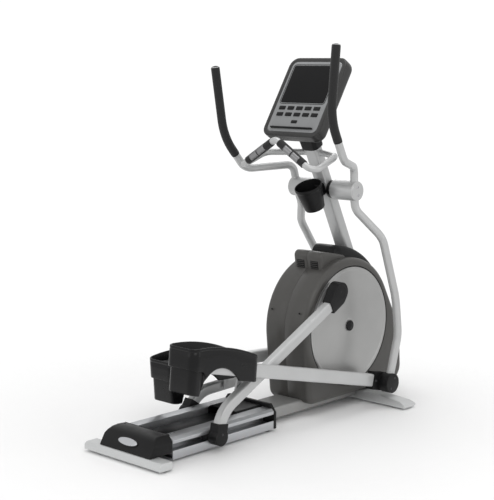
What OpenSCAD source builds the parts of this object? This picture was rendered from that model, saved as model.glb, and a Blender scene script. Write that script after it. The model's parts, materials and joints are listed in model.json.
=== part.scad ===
// Front-drive elliptical trainer with suspended pedals.
// +X points forward to the console, +Y to the machine's left, +Z up, millimetres.
// The floor is z = 0 and the origin lies under the middle of the machine.
// Side-view positions are [x, z] pairs with x counted forward from the rear foot.

/* [Overall] */
// Length from the rear foot to the front of the shroud
overall_length = 1680; // [1660:1:1720]
// Crank angle of the right pin, counted from straight ahead
crank_angle = 130; // [110:1:150]

/* [Linkage] */
// Crank radius, half of the stride
crank_radius = 240; // [230:1:245]
// Height of the crank axle above the floor
crank_height = 377; // [370:1:385]
// Distance of the crank axle ahead of the rear foot
crank_reach = 1277; // [1270:1:1285]
// Link arm length from roller axle to crank pin
link_length = 905; // [900:1:910]
// Height of the roller axles in the rails
roller_height = 62; // [60:1:64]
// Swing arm length from hub to front pivot
swing_length = 895; // [885:1:905]
// Pedal arm length from front pivot to the link arm's pivot
pedal_link_length = 878; // [870:1:886]

/* [Base] */
// Half width of the rear foot
rear_foot_half = 228; // [210:1:240]
// Half width of the front foot
front_foot_half = 359; // [340:1:380]
// Outer face of each rail, from the middle plane
rail_outer = 150; // [148:1:151]
// Front end of the rails
rail_end = 732; // [728:1:740]

/* [Shroud] */
// Outer face of each shroud half, from the middle plane
shroud_half = 124; // [120:1:126]
// Radius of the shroud's round body
shroud_radius = 310; // [300:1:315]
// Radius of the crank discs
disc_radius = 270; // [262:1:272]

/* [Console] */
// Width of the console
console_width = 330; // [300:1:340]
// Height of the console along its face
console_height = 400; // [360:1:410]
// Lean of the console's face from the vertical
console_lean = 32; // [25:1:35]

/* [Hidden] */
$fn = 64;

running = 0.05;              // radial clearance of a running fit
gap = 0.3;                   // gap between parts that only pass each other
wall = 2.5;                  // wall of the steel tubes
shell = 4;                   // wall of the plastic covers

crank_centre = [crank_reach, crank_height];
hub_centre = [1240, 998];
pedal_pivot_on_link = [216, 58];

link_y = 175;                // middle plane of the link arm
link_thick = 40;
arm_y = 218;                 // middle plane of the pedal arm
arm_thick = 36;
arm_high = 58;
swing_y = 265;               // middle plane of the swing arm's lower tube
hub_y = 168;                 // where the tubes meet the hub
housing_in = 153;            // inner face of the link arm's covers
housing_out = 199;           // outer face of the link arm's covers
axle_r = 8;
wheel_r = 26;
hub_axle_r = 12;
hub_r = 44;
hub_in = 58;                 // inner end of the hub
hub_out = 190;               // outer end of the hub
hub_bore_end = 176;          // the hub is closed beyond this
front_pin_r = 10;
tube_r = 18.5;
grip_r = 19.5;
handle_r = 17.5;
bar_r = 14.5;                // the fixed handlebar

mast_top = [1130, 1234];
mast_bend = [1405, 668];
mast_foot = [1500, 104.2];
mast_wide = 73;
mast_deep = 50;

silver = [0.78, 0.79, 0.79];
mid_grey = [0.56, 0.56, 0.55];
shroud_grey = [0.36, 0.35, 0.33];
black = [0.08, 0.08, 0.085];
alloy = [0.70, 0.71, 0.74];
steel = [0.6, 0.6, 0.62];

// ---------- vectors and the linkage ----------

function unit(v) = v / norm(v);
function turn(p, a) = [p[0] * cos(a) - p[1] * sin(a), p[0] * sin(a) + p[1] * cos(a)];
function flat(p, y) = [p[0], y, p[1]];

function pin_at(phi) = crank_centre + crank_radius * [cos(phi), sin(phi)];
function link_rise(phi) = pin_at(phi)[1] - roller_height;
function link_run(phi) = sqrt(pow(link_length, 2) - pow(link_rise(phi), 2));
function roller_at(phi) = [pin_at(phi)[0] - link_run(phi), roller_height];
function link_tilt(phi) = atan2(link_rise(phi), link_run(phi));
function pedal_pivot_at(phi) = roller_at(phi) + turn(pedal_pivot_on_link, link_tilt(phi));

// The front pivot is where the pedal arm's reach and the swing arm's reach meet.
function front_pivot_at(phi) =
    let (p = pedal_pivot_at(phi),
         to_hub = hub_centre - p,
         span = norm(to_hub),
         along = (pow(pedal_link_length, 2) - pow(swing_length, 2) + span * span) / (2 * span),
         off = sqrt(pow(pedal_link_length, 2) - along * along))
    p + along * to_hub / span + off * [to_hub[1], -to_hub[0]] / span;
function swing_at(phi) =
    let (f = front_pivot_at(phi) - hub_centre) atan2(f[0], -f[1]);
// The pivot hangs below the pedal arm's centre line by this angle.
pivot_drop = 5.8;
function arm_tilt(phi) =
    let (d = front_pivot_at(phi) - pedal_pivot_at(phi)) atan2(d[1], d[0]) - pivot_drop;

right_phi = crank_angle;
left_phi = crank_angle + 180;

// ---------- placing and general shapes ----------

module placed() translate([-overall_length / 2, 0, 0]) children();
module on_side(left) placed() mirror([0, left ? 0 : 1, 0]) children();
// A side-view frame at p, turned counterclockwise by a as seen with +X to the right.
module side_frame(p, a) translate([p[0], 0, p[1]]) rotate([0, -a, 0]) children();
module link_frame(phi) side_frame(roller_at(phi), link_tilt(phi)) children();
module swing_frame(phi) side_frame(hub_centre, swing_at(phi)) children();
module pedal_frame(phi) side_frame(front_pivot_at(phi), arm_tilt(phi)) children();

// Raises a side-view outline to a slab between y0 and y1.
module slab(y0, y1) translate([0, y1, 0]) rotate([90, 0, 0]) linear_extrude(y1 - y0) children();
// Runs a cross-section, drawn as [y, z], along X.
module run_x(x0, x1) translate([x0, 0, 0]) rotate([90, 0, 90]) linear_extrude(x1 - x0) children();
module rod_y(p, r, y0, y1) translate([p[0], y1, p[1]]) rotate([90, 0, 0]) cylinder(r = r, h = y1 - y0);
module box(x0, x1, y0, y1, z0, z1) translate([x0, y0, z0]) cube([x1 - x0, y1 - y0, z1 - z0]);

module rounded(w, h, r) {
    square([w - 2 * r, h], center = true);
    square([w, h - 2 * r], center = true);
    for (x = [-1, 1], y = [-1, 1])
        translate([x * (w / 2 - r), y * (h / 2 - r)]) circle(r, $fn = 32);
}
module hollow_bar(w, h, r, t) difference() {
    rounded(w, h, r);
    rounded(w - 2 * t, h - 2 * t, max(r - t, 1));
}

module oriented(o, x, y, z)
    multmatrix([[x[0], y[0], z[0], o[0]], [x[1], y[1], z[1], o[1]],
                [x[2], y[2], z[2], o[2]], [0, 0, 0, 1]]) children();

// The stations, each [point, direction], of a route of straight runs and round bends.
bend_steps = 5;
function bend_stations(a, b, c, r) =
    let (u = unit(b - a),
         v = unit(c - b),
         angle = acos(u * v),
         inward = unit(v - (v * u) * u),
         centre = b - u * r * tan(angle / 2) + inward * r)
    [for (k = [0 : bend_steps])
        let (t = angle * k / bend_steps)
        [centre + r * (u * sin(t) - inward * cos(t)), u * cos(t) + inward * sin(t)]];
function route(points, bends) =
    let (last = len(points) - 1)
    concat([[points[0], unit(points[1] - points[0])]],
           [for (i = [1 : 1 : last - 1])
               each bend_stations(points[i - 1], points[i], points[i + 1], bends[i - 1])],
           [[points[last], unit(points[last] - points[last - 1])]]);

// The side-view outline of a bar that follows a route, half of its depth each way.
function band_edge(stations, offset) =
    [for (s = stations) [s[0][0] - offset * s[1][1], s[0][1] + offset * s[1][0]]];
module band(points, bends, half) {
    stations = route(points, bends);
    back = band_edge(stations, -half);
    polygon(concat(band_edge(stations, half), [for (i = [len(back) - 1 : -1 : 0]) back[i]]));
}

// A round tube along a route through space; up is never along the tube.
sides = 16;
function around(s, r, up) =
    let (side = unit(cross(up, s[1])), high = cross(s[1], side))
    [for (k = [0 : sides - 1])
        s[0] + r * (side * cos(k * 360 / sides) + high * sin(k * 360 / sides))];
module pipe(points, bends, outer, inner, up = [0, 1, 0]) {
    stations = route(points, bends);
    rings = len(stations);
    inside = rings * sides;
    end = (rings - 1) * sides;
    polyhedron(
        points = concat([for (s = stations) each around(s, outer, up)],
                        [for (s = stations) each around(s, inner, up)]),
        faces = concat(
            [for (i = [0 : rings - 2], k = [0 : sides - 1]) let (a = i * sides + k, b = i * sides + (k + 1) % sides)
                each [[a, a + sides, b + sides, b],
                      [inside + b, inside + b + sides, inside + a + sides, inside + a]]],
            [for (k = [0 : sides - 1]) let (a = k, b = (k + 1) % sides)
                each [[a, b, inside + b, inside + a],
                      [end + inside + a, end + inside + b, end + b, end + a]]]));
}
// A straight round bar from a to b.
module bar(a, b, r) {
    way = unit(b - a);
    side = unit(cross([0, 1, 0], way));
    oriented(a, side, cross(way, side), way) cylinder(r = r, h = norm(b - a));
}

// ---------- base ----------

module rear_foot() color(silver) placed() {
    deep = 78;
    intersection() {
        slab(-rear_foot_half, rear_foot_half)
            polygon([[0, 10], [6, 8], [deep - 6, 8], [deep, 12], [deep - 10, 40], [12, 40], [0, 30]]);
        linear_extrude(60)
            polygon([[0, 1 - rear_foot_half], [deep - 14, -rear_foot_half], [deep, 14 - rear_foot_half],
                     [deep, rear_foot_half - 14], [deep - 14, rear_foot_half], [0, rear_foot_half - 1]]);
    }
}

module foot_pads() color(black) placed() {
    for (y = [-1, 1]) {
        translate([40, y * 196, 0]) cylinder(r = 17, h = 8);
        translate([1425, y * 325, 0]) cylinder(r = 17, h = 8);
        translate([rail_end - 14, y * 118, 0]) cylinder(r = 15, h = 5);
        translate([rail_end - 14, y * 118, 5]) cylinder(r = 5, h = 7);
    }
}

cap_front = 140;
module rear_end_cap() color(black) placed() difference() {
    intersection() {
        slab(-152, 152)
            polygon([[16, 40.3], [cap_front, 40.3], [cap_front, 112], [96, 116], [70, 112], [52, 100]]);
        run_x(0, 200)
            polygon([[-152, 40], [-152, 84], [-126, 120], [126, 120], [152, 84], [152, 40]]);
    }
    slab(-152 + 26, 152 - 26)
        polygon([[34, 40], [cap_front + 1, 40], [cap_front + 1, 106], [96, 110], [74, 106], [58, 95]]);
}

rail_inner = 85;
rail_low = 12;
rail_high = 100;
slot_low = 48;
slot_high = 76;
module rail_section() difference() {
    polygon([[rail_inner, rail_low], [rail_outer, rail_low], [rail_outer, rail_high - 10],
             [rail_outer - 12, rail_high], [rail_inner, rail_high]]);
    translate([rail_inner + 5, roller_height - wheel_r - gap])
        square([rail_outer - rail_inner - 10, 2 * wheel_r + 5]);
    translate([rail_outer - 6, slot_low]) square([8, slot_high - slot_low]);
    translate([rail_inner + 4, rail_low + 4]) square([rail_outer - rail_inner - 8, 14]);
}
module left_rail() color(alloy) on_side(true) run_x(cap_front + gap, rail_end) rail_section();
module right_rail() color(alloy) on_side(false) run_x(cap_front + gap, rail_end) rail_section();

module rail_cover() color(black) placed() {
    half = rail_inner - gap;
    run_x(cap_front + gap, 572)
        polygon([[-half, 60], [-half, 70], [-half + 14, 76], [half - 14, 76], [half, 70], [half, 60],
                 [half - 3, 60], [half - 3, 69], [half - 15, 73], [-half + 15, 73], [-half + 3, 69],
                 [-half + 3, 60]]);
    run_x(572, rail_end - gap)
        polygon([[-half, 60], [-half, 96], [-half + 10, 106], [half - 10, 106], [half, 96], [half, 60],
                 [half - 3, 60], [half - 3, 95], [half - 12, 103], [-half + 12, 103], [-half + 3, 95],
                 [-half + 3, 60]]);
}

module rail_bracket() color(black) placed() difference() {
    run_x(rail_end + gap, rail_end + 16)
        polygon([[-152, 12], [-152, 84], [-126, 118], [126, 118], [152, 84], [152, 12]]);
    box(rail_end - 1, rail_end + 20, -75.4, 75.4, 0, 74.4);
}

post_half = 30;
flywheel_centre = crank_centre + 205 * [cos(135), sin(135)];
frame_arm_in = 18;
frame_arm_out = 24;
shell_half = 45;
bearing_r = 24;
wheel_axle = [1590, 34];
module main_frame() color(mid_grey) placed() difference() {
    union() {
        run_x(78, rail_end + 10) translate([0, 46]) hollow_bar(110, 42, 6, 3);
        run_x(rail_end - 2, 1378) translate([0, 48]) hollow_bar(150, 52, 8, 3);
        run_x(1365, 1570) translate([0, 75.5]) hollow_bar(120, 49, 6, 3);
        box(crank_centre[0] - 32, crank_centre[0] + 32, -post_half, post_half, 72, crank_height);
        rod_y(crank_centre, 34, -shell_half, shell_half);
        for (y = [-1, 1]) mirror([0, y < 0 ? 1 : 0, 0]) {
            side_frame(crank_centre, 135) box(4, 205, frame_arm_in, frame_arm_out, -15, 15);
            rod_y(flywheel_centre, 22, frame_arm_in - 1, frame_arm_out + 1);
            box(1540, 1600, 58, 78, 24, 97);
        }
        rod_y(wheel_axle, 8, -106, 106);
    }
    rod_y(crank_centre, bearing_r, -shell_half - 1, shell_half + 1);
    rod_y(flywheel_centre, axle_r + running, -shell_half, shell_half);
}

module front_foot() color(silver) placed() intersection() {
    slab(-front_foot_half, front_foot_half)
        polygon([[1380, 10], [1384, 8], [1466, 8], [1472, 14], [1456, 50], [1396, 50]]);
    run_x(1370, 1480)
        polygon([[-front_foot_half, 8], [-front_foot_half, 22], [-front_foot_half + 30, 34], [-150, 50],
                 [150, 50], [front_foot_half - 30, 34], [front_foot_half, 22], [front_foot_half, 8]]);
}

// Two rollers ahead of the front foot, clear of the floor until the rear is lifted.
module transport_wheels() color(black) placed()
    for (y = [-1, 1]) mirror([0, y < 0 ? 1 : 0, 0]) difference() {
        rod_y(wheel_axle, 26, 81, 103);
        rod_y(wheel_axle, 8 + running, 80, 104);
    }

// ---------- mast, console and fixed handlebar ----------

mast_path = [mast_foot, mast_bend, mast_top];
mast_way = unit(mast_top - mast_bend);
mast_lean = atan2(-mast_way[0], mast_way[1]);
module mast_solid(extra) slab(-mast_wide / 2 - extra, mast_wide / 2 + extra)
    band(mast_path, [140], mast_deep / 2 + extra);
module mast() color(mid_grey) placed() difference() {
    mast_solid(0);
    slab(3 - mast_wide / 2, mast_wide / 2 - 3)
        band([mast_foot - [4, 60], mast_bend, mast_top - 4 * mast_way], [140], mast_deep / 2 - 3);
    rod_y(hub_centre, hub_axle_r, -60, 60);
}

module hub_axle() color(steel) placed() rod_y(hub_centre, hub_axle_r, 2 - hub_bore_end, hub_bore_end - 2);

module console_frame() translate([1092, 0, 1415]) rotate([0, console_lean, 0]) children();
// A plate of the console's outline between depths d0 and d1, drawn in by trim.
module console_plate(d0, d1, trim, corner) translate([d0, 0, 0]) rotate([90, 0, 90])
    linear_extrude(d1 - d0) rounded(console_width - 2 * trim, console_height - 2 * trim, corner);

console_deep = 70;
module console_back() color(shroud_grey) placed() difference() {
    union() {
        console_frame() difference() {
            hull() {
                console_plate(12, 48, 0, 45);
                console_plate(12, console_deep, 26, 30);
            }
            hull() {
                console_plate(11.9, 44, shell, 41);
                console_plate(11.9, console_deep - shell, 30, 26);
            }
        }
        hull() {
            console_frame() translate([console_deep - 6, -48, -150]) cube([4.5, 96, 80]);
            side_frame(mast_top, 90 + mast_lean) box(-60, -10, -42, 42, -31, 31);
        }
    }
    mast_solid(gap);
}

display_w = 250;
display_h = 190;
display_up = 62;
key_w = 34;
key_h = 16;
key_down = -128;
module console_bezel() color([0.55, 0.56, 0.57]) placed() console_frame() difference() {
    console_plate(0, 12, 0, 45);
    translate([-1, -display_w / 2, display_up - display_h / 2]) cube([8, display_w, display_h]);
    translate([-1, -key_w / 2 - gap, key_down - key_h / 2 - gap])
        cube([14, key_w + 2 * gap, key_h + 2 * gap]);
}
module display_panel() color([0.02, 0.02, 0.03]) placed() console_frame()
    translate([2, 0, display_up]) rotate([90, 0, 90])
        linear_extrude(5) rounded(display_w, display_h, 8);
module start_key() color(black) placed() console_frame()
    translate([-3, 0, key_down]) rotate([90, 0, 90]) linear_extrude(12) rounded(key_w, key_h, 5);

bar_root = [1163, 1165];
bar_elbow = [1065, 205, 1163];
bar_turn = [905, 214, 1104];
bar_peak = [905, 0, 1236];
bar_out = mast_wide / 2 + 16;  // the bar leaves the mast square, as far as here
bar_left = [flat(bar_root, mast_wide / 2), flat(bar_root, bar_out), bar_elbow, bar_turn];
bar_path = concat(bar_left, [bar_peak],
                  [for (i = [len(bar_left) - 1 : -1 : 0]) [bar_left[i][0], -bar_left[i][1], bar_left[i][2]]]);
module static_handlebar() color(silver) placed()
    pipe(bar_path, [25, 60, 38, 30, 38, 60, 25], bar_r, bar_r - wall, [0, 0, 1]);

module pulse_grips() color(black) placed()
    for (y = [-1, 1]) mirror([0, y < 0 ? 1 : 0, 0]) {
        rise = unit(bar_peak - bar_turn);
        difference() {
            bar(bar_turn + 58 * rise, bar_peak - 26 * rise, bar_r + 3.5);
            bar(bar_turn + 50 * rise, bar_peak - 20 * rise, bar_r + running);
        }
    }

cup_rim = [1120, 1020];
module cup_holder() color(black) placed() difference() {
    union() {
        side_frame(cup_rim, mast_lean) translate([0, 0, -118]) cylinder(r1 = 46, r2 = 63, h = 118);
        side_frame(cup_rim, mast_lean) box(30, 120, -22, 22, -84, -30);
    }
    side_frame(cup_rim, mast_lean) translate([0, 0, -114]) cylinder(r1 = 43, r2 = 60.2, h = 114.1);
    mast_solid(gap / 2);
}

// ---------- drive ----------

module crank_bearings() color(steel) placed()
    for (y = [-1, 1]) mirror([0, y < 0 ? 1 : 0, 0]) difference() {
        rod_y(crank_centre, bearing_r, 31, shell_half);
        rod_y(crank_centre, 12 + running, 30, shell_half + 1);
    }
module crank_axle() color(steel) placed() rod_y(crank_centre, 12, -124, 124);

disc_in = 109;
disc_out = 124;
pin_r = 14;
module crank_disc(phi) color(silver) difference() {
    union() {
        difference() {
            rod_y(crank_centre, disc_radius, disc_in, disc_out);
            rod_y(crank_centre, disc_radius - 4, disc_in - 1, disc_out - 5);
        }
        rod_y(crank_centre, 34, disc_in, disc_out - 2);
        rod_y(pin_at(phi), pin_r, disc_in + 2, 150);
    }
    rod_y(crank_centre, 12, 100, 140);
}
module left_crank_disc() on_side(true) crank_disc(left_phi);
module right_crank_disc() on_side(false) crank_disc(right_phi);

pulley_in = 60;
pulley_out = 78;
pulley_r = 140;
small_pulley_r = 22;
module drive_pulley() color([0.3, 0.3, 0.31]) placed() difference() {
    union() {
        rod_y(crank_centre, pulley_r, pulley_in, pulley_out);
        rod_y(crank_centre, 30, pulley_in - 6, pulley_out + 10);
    }
    rod_y(crank_centre, 12, 0, 200);
    difference() {
        rod_y(crank_centre, pulley_r - 14, pulley_in + 6, pulley_out + 1);
        rod_y(crank_centre, 30, pulley_in, pulley_out + 2);
    }
    for (a = [0 : 60 : 300])
        rod_y(crank_centre + 80 * [cos(a), sin(a)], 24, pulley_in - 1, pulley_out + 1);
}
module flywheel() color([0.33, 0.33, 0.35]) placed() {
    rod_y(flywheel_centre, axle_r, -30, 86);
    difference() {
        rod_y(flywheel_centre, 92, -14, 14);
        for (y = [-1, 1]) mirror([0, y < 0 ? 1 : 0, 0]) difference() {
            rod_y(flywheel_centre, 64, 5, 20);
            rod_y(flywheel_centre, 20, 4, 21);
        }
    }
    rod_y(flywheel_centre, small_pulley_r, pulley_in, pulley_out);
}
module belt_outline(grow) hull() {
    translate(crank_centre) circle(pulley_r + grow, $fn = 72);
    translate(flywheel_centre) circle(small_pulley_r + grow, $fn = 36);
}
module drive_belt() color(black) placed() slab(pulley_in + 2, pulley_out - 2) difference() {
    belt_outline(3 + gap);
    belt_outline(gap);
}
brake_centre = flywheel_centre + 78 * [cos(200), sin(200)];
module brake_unit() color(steel) placed() difference() {
    union() {
        side_frame(brake_centre, 20) box(-24, 24, -34, 34, -20, 20);
        for (y = [-1, 1]) mirror([0, y < 0 ? 1 : 0, 0])
            side_frame(brake_centre, atan2(crank_centre[1] - brake_centre[1], crank_centre[0] - brake_centre[0]))
                box(0, norm(crank_centre - brake_centre) - 20, 28, 34, -9, 9);
    }
    rod_y(flywheel_centre, 94, -17, 17);
    rod_y(crank_centre, 34 + running, -60, 60);
}

// ---------- shroud ----------

// Side-view outline of the shroud, drawn in by trim.
module shroud_outline(trim) hull() {
    translate(crank_centre) circle(shroud_radius - trim, $fn = 72);
    translate([1040, 100]) circle(48 - trim, $fn = 32);
    translate([1500, 262]) circle(170 - trim, $fn = 48);
    translate([1600, 130]) circle(overall_length - 1600 - 2 - trim, $fn = 40);
}
edge_r = 28;
// One half of the shroud as a solid whose outer edge is rounded in steps.
module shroud_half_solid(trim) hull()
    for (a = [0 : 30 : 90])
        slab(0.5, shroud_half - edge_r - trim + edge_r * sin(a))
            shroud_outline(trim + (edge_r - 2) * (1 - cos(a)));
module nose_solid(trim) hull() {
    for (t = [0, 12])
        slab(0.5, 86 - trim - t) {
            translate([1152 - 12 + t, 700]) circle(24 - trim, $fn = 24);
            translate([1165 - 12 + t, 620]) circle(24 - trim, $fn = 24);
            translate([1270, 660 + 12 - t / 2]) circle(30 - trim, $fn = 24);
        }
}
module shroud_side() difference() {
    union() {
        shroud_half_solid(0);
        nose_solid(0);
    }
    difference() {
        union() {
            shroud_half_solid(shell);
            nose_solid(shell);
        }
        rod_y(crank_centre, disc_radius + 8, disc_in - 3 - shell, shroud_half);
    }
    rod_y(crank_centre, disc_radius + 4, disc_in - 3, shroud_half + 1);
    rod_y(crank_centre, 18, 60, 140);
    box(1010, 1640, -1, 112, 30, 104.5);
    box(900, 1700, -1, 77, 0, 78);
    mast_solid(6);
}
module left_shroud() color(shroud_grey) on_side(true) shroud_side();
module right_shroud() color(shroud_grey) on_side(false) shroud_side();

module mast_collar() color(black) placed() difference() {
    intersection() {
        hull() {
            slab(-62, 62) shroud_outline(-56);
            slab(-76, 76) shroud_outline(-8);
        }
        slab(-80, 80) polygon([[1215, 600], [1215, 760], [1300, 760], [1545, 612], [1545, 560]]);
    }
    slab(-90, 90) shroud_outline(-gap);
    for (y = [-1, 1]) mirror([0, y < 0 ? 1 : 0, 0]) nose_solid(-gap);
    mast_solid(gap);
}

// ---------- one side of the linkage ----------

module roller_axle(phi) color(steel) rod_y(roller_at(phi), axle_r, 98, link_y + 14);
module roller(phi) color([0.16, 0.16, 0.17]) difference() {
    rod_y(roller_at(phi), wheel_r, 100, 134);
    rod_y(roller_at(phi), axle_r + running, 99, 135);
}

link_corner = [68, 71];
link_end = [842, -17];
link_path = [[4, 4], link_corner, link_end];
module link_arm_solid(extra) {
    slab(link_y - link_thick / 2 - extra, link_y + link_thick / 2 + extra)
        band(link_path, [140], 23 + extra);
    rod_y([0, 0], 26 + extra, link_y - link_thick / 2 - extra + 0.5, link_y + link_thick / 2 + extra - 0.5);
}
module link_tongue(extra) slab(link_y - 12 - extra, link_y + 12 + extra)
    band([link_end - [8, 0], [link_length, 0]], [], 14 + extra);
module link_eye(extra) rod_y([link_length, 0], 28 + extra, link_y - 12.5 - extra, link_y + 12.5 + extra);
link_slope = atan2(link_end[1] - link_corner[1], link_end[0] - link_corner[0]);
module link_hollow() side_frame(link_corner, link_slope) {
    box(110, 740, link_y - link_thick / 2 + wall, link_y + link_thick / 2 - wall, wall - 23, 23 - wall);
    box(380, 400, link_y - 5, link_y + 5, -26, 0);
}
module link_arm(phi) color(silver) link_frame(phi) difference() {
    union() {
        difference() {
            link_arm_solid(0);
            link_hollow();
        }
        link_tongue(0);
        link_eye(0);
    }
    rod_y([0, 0], axle_r + running, 100, link_y + 15);
}
module pin_housing(phi) color(black) link_frame(phi) difference() {
    slab(housing_in, housing_out) hull() {
        translate([link_length, 0]) circle(44, $fn = 72);
        translate([link_length - 18, -10]) circle(42, $fn = 72);
        translate(link_end + [-22, 0]) rotate(-6.5) square([6, 58], center = true);
    }
    link_arm_solid(gap);
    link_tongue(gap);
    link_eye(gap);
}
module roller_boot(phi) color(black) link_frame(phi) difference() {
    union() {
        rod_y([0, 0], 35, housing_in, housing_out);
        slab(housing_in, housing_out) band([[0, 0], [38, 41]], [], 28);
    }
    link_arm_solid(gap);
    rod_y([0, 0], axle_r + 2, 100, link_y);
}

module hub_bush(phi) color(steel) difference() {
    rod_y(hub_centre, 20, 60, 150);
    rod_y(hub_centre, hub_axle_r + running, 59, 151);
}

lower_path = [[-4, hub_y, -26], [-4, hub_y, -84], [50, swing_y, -222], [106, swing_y, -520],
              [100, swing_y, -694], [0, swing_y, -swing_length]];
front_way = unit(lower_path[4] - lower_path[5]);
lower_bends = [70, 110, 420, 160];
stub_base = [2, hub_y, 22];
handle_knee = [15, hub_y, 106];
handle_start = stub_base + 0.52 * (handle_knee - stub_base);
module swing_arm(phi) color(silver) swing_frame(phi) difference() {
    union() {
        pipe(concat([for (i = [0 : 4]) lower_path[i]], [lower_path[5] + 38 * front_way]), lower_bends,
             tube_r, tube_r - wall);
        rod_y([0, 0], hub_r, hub_in, hub_out);
        bar(stub_base, handle_start, handle_r + 2);
    }
    rod_y([0, 0], 20 + running, 0, hub_bore_end);
}
module front_housing(phi) color(black) swing_frame(phi) difference() {
    rod_y([0, -swing_length], 45, 245, 290);
    rod_y([0, -swing_length], front_pin_r + running, 240, 284);
    bar(lower_path[5] + 37 * front_way, lower_path[4], tube_r + running);
}
module front_pin(phi) color(steel) rod_y(front_pivot_at(phi), front_pin_r, 204, 283);

grip_start = [-220, 275, 268];
grip_bend = [-237, 275, 376];
grip_top = [-156, 275, 676];
handle_path = [handle_start, handle_knee, [-178, 275, 181], grip_bend, grip_top];
module handlebar(phi) color(silver) swing_frame(phi)
    pipe(handle_path, [40, 70, 260], handle_r, handle_r - wall);
module grip(phi) color(black) swing_frame(phi)
    pipe([grip_bend - 106 * unit(grip_bend - handle_path[2]), grip_bend, grip_top + 3 * unit(grip_top - grip_bend)],
         [260], grip_r, handle_r + running);

module pedal_arm(phi) color(silver) pedal_frame(phi) {
    pivot = [-873, -89];
    run_x(-1190, -78) translate([arm_y, 0]) hollow_bar(arm_thick, arm_high, 8, wall);
    box(-1000, -868, 139, arm_y - arm_thick / 2, 10, 28);
    difference() {
        union() {
            box(-892, -868, 139, 150, -84, 12);
            rod_y(pivot, 16, 139, 150);
        }
        rod_y(pivot, axle_r, 138, 151);
    }
    rod_y(pivot, axle_r, 139, 153.5);
}
module arm_knuckle(phi) color(black) pedal_frame(phi) difference() {
    union() {
        rod_y([0, 0], 43, arm_y - 20, arm_y + 25);
        box(-78 + gap, 0, arm_y - 20, arm_y + 21, -41, 41);
    }
    rod_y([0, 0], front_pin_r + running, 190, 250);
}

cup_in = 84;
cup_out = 244;
module pedal_outline(trim) difference() {
    intersection() {
        polygon([[-860 - trim, -46], [-877 - trim, 100], [-1268 + trim, 100], [-1238 + trim, -125],
                 [-1150, -102], [-1000, -46]]);
        translate([-1062, -749]) circle(833 - trim, $fn = 240);
    }
    translate([-1083, -118]) circle(118, $fn = 96);
}
module pedal_shell(phi) color(black) pedal_frame(phi) difference() {
    slab(cup_in, cup_out) pedal_outline(0);
    slab(cup_in + 7, cup_out - 7) intersection() {
        polygon([[-886, 36], [-886, 120], [-1240, 120], [-1248, 36]]);
        circle(2000);
    }
    slab(cup_in + 6, cup_out - 6) polygon([[-800, -200], [-800, 30], [-1196, 30], [-1196, -60], [-1150, -200]]);
}
module foot_pad(phi) color([0.13, 0.13, 0.135]) pedal_frame(phi)
    translate([-1064, (cup_in + cup_out) / 2, 36]) linear_extrude(8)
        rounded(340, cup_out - cup_in - 22, 30);

module left_roller_axle() on_side(true) roller_axle(left_phi);
module left_roller() on_side(true) roller(left_phi);
module left_link_arm() on_side(true) link_arm(left_phi);
module left_pin_housing() on_side(true) pin_housing(left_phi);
module left_roller_boot() on_side(true) roller_boot(left_phi);
module left_hub_bush() on_side(true) hub_bush(left_phi);
module left_swing_arm() on_side(true) swing_arm(left_phi);
module left_handlebar() on_side(true) handlebar(left_phi);
module left_grip() on_side(true) grip(left_phi);
module left_front_housing() on_side(true) front_housing(left_phi);
module left_front_pin() on_side(true) front_pin(left_phi);
module left_pedal_arm() on_side(true) pedal_arm(left_phi);
module left_arm_knuckle() on_side(true) arm_knuckle(left_phi);
module left_pedal_shell() on_side(true) pedal_shell(left_phi);
module left_foot_pad() on_side(true) foot_pad(left_phi);
module right_roller_axle() on_side(false) roller_axle(right_phi);
module right_roller() on_side(false) roller(right_phi);
module right_link_arm() on_side(false) link_arm(right_phi);
module right_pin_housing() on_side(false) pin_housing(right_phi);
module right_roller_boot() on_side(false) roller_boot(right_phi);
module right_hub_bush() on_side(false) hub_bush(right_phi);
module right_swing_arm() on_side(false) swing_arm(right_phi);
module right_handlebar() on_side(false) handlebar(right_phi);
module right_grip() on_side(false) grip(right_phi);
module right_front_housing() on_side(false) front_housing(right_phi);
module right_front_pin() on_side(false) front_pin(right_phi);
module right_pedal_arm() on_side(false) pedal_arm(right_phi);
module right_arm_knuckle() on_side(false) arm_knuckle(right_phi);
module right_pedal_shell() on_side(false) pedal_shell(right_phi);
module right_foot_pad() on_side(false) foot_pad(right_phi);

rear_foot();
foot_pads();
rear_end_cap();
left_rail();
right_rail();
rail_cover();
rail_bracket();
main_frame();
front_foot();
mast();
left_shroud();
right_shroud();
mast_collar();
console_back();
console_bezel();
display_panel();
start_key();
static_handlebar();
pulse_grips();
cup_holder();
hub_axle();
crank_bearings();
drive_belt();
brake_unit();
transport_wheels();
crank_axle();
left_crank_disc();
right_crank_disc();
drive_pulley();
flywheel();
left_roller_axle();
left_roller();
left_link_arm();
left_pin_housing();
left_roller_boot();
left_hub_bush();
left_swing_arm();
left_handlebar();
left_grip();
left_front_housing();
left_front_pin();
left_pedal_arm();
left_arm_knuckle();
left_pedal_shell();
left_foot_pad();
right_roller_axle();
right_roller();
right_link_arm();
right_pin_housing();
right_roller_boot();
right_hub_bush();
right_swing_arm();
right_handlebar();
right_grip();
right_front_housing();
right_front_pin();
right_pedal_arm();
right_arm_knuckle();
right_pedal_shell();
right_foot_pad();
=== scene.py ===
import bpy
import bmesh
import json
import math
from mathutils import Matrix, Vector


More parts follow.
